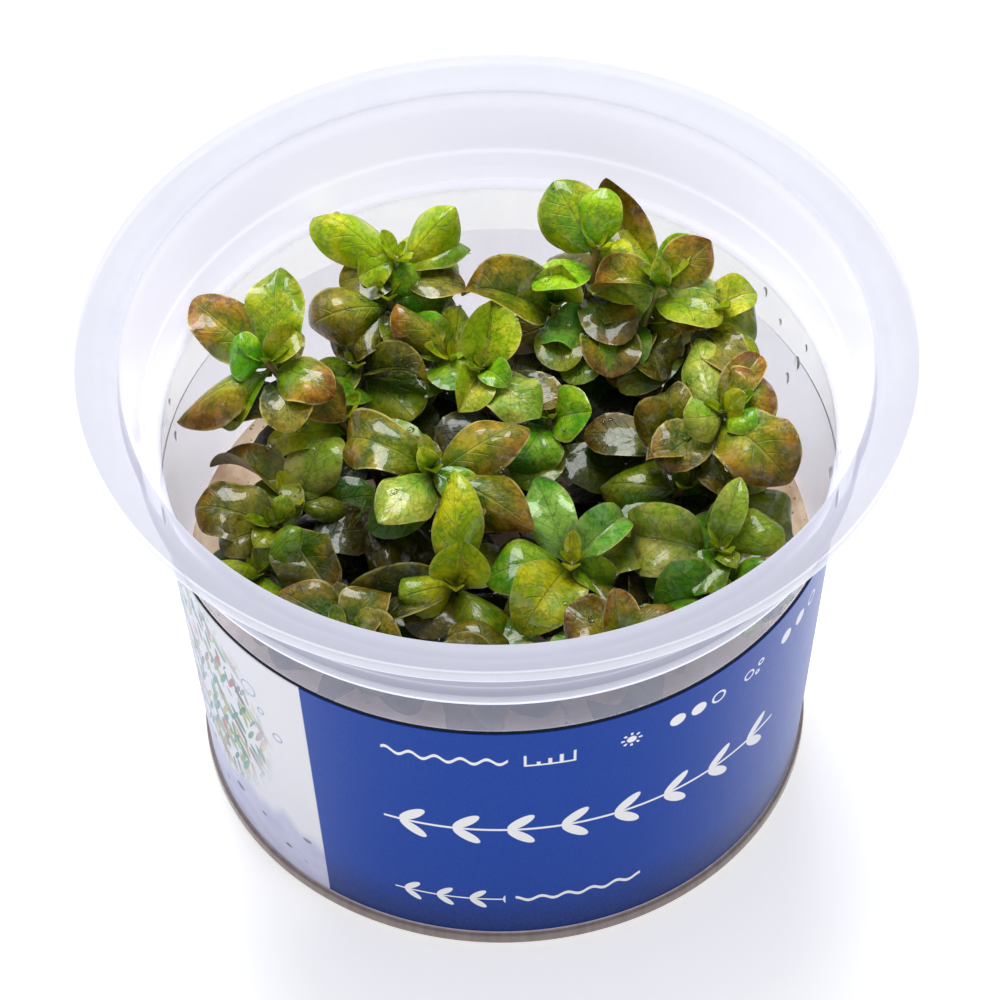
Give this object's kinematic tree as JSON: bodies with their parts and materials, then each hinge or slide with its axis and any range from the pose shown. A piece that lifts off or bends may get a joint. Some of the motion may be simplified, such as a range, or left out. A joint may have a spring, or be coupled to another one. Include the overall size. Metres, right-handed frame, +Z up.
{
  "type": "ludwigia repens in its growing cup",
  "caption": "Young bronze-green aquarium plant of short leafy shoots, rooted in gel inside an open clear plastic cup with a wide flange and a printed sleeve.",
  "frame": {"origin": "centre of the cup's underside", "axes": "+Z up out of the cup's mouth; -Y is the side that the picture shows"},
  "size_m": [0.1, 0.1, 0.0663],
  "materials": {
    "clear_plastic": "translucent, softly glossy",
    "printed_sleeve": "printed film, satin",
    "growing_medium": "moist, cloudy gel",
    "leaf": "wet, glossy, olive to bronze"
  },
  "bodies": {
    "root": {"cup": "clear_plastic", "medium": "growing_medium", "shoot_arch_left": "leaf", "shoot_back": "leaf", "shoot_back_left": "leaf", "shoot_back_right": "leaf", "shoot_bright_left": "leaf", "shoot_broad": "leaf", "shoot_centre": "leaf", "shoot_cupped": "leaf", "shoot_dark": "leaf", "shoot_dome": "leaf", "shoot_drop": "leaf", "shoot_emerald": "leaf", "shoot_front": "leaf", "shoot_front_left": "leaf", "shoot_front_right": "leaf", "shoot_left": "leaf", "shoot_low_right": "leaf", "shoot_mid_back": "leaf", "shoot_mid_left": "leaf", "shoot_middle": "leaf", "shoot_pale": "leaf", "shoot_right": "leaf", "shoot_rim_front": "leaf", "shoot_rim_front_left": "leaf", "shoot_rim_front_right": "leaf", "shoot_rim_left": "leaf", "shoot_rim_right": "leaf", "shoot_shade_right": "leaf", "shoot_slope_left": "leaf", "shoot_tan": "leaf", "shoot_wall_right": "leaf", "sleeve": "printed_sleeve"}
  },
  "joints": []
}
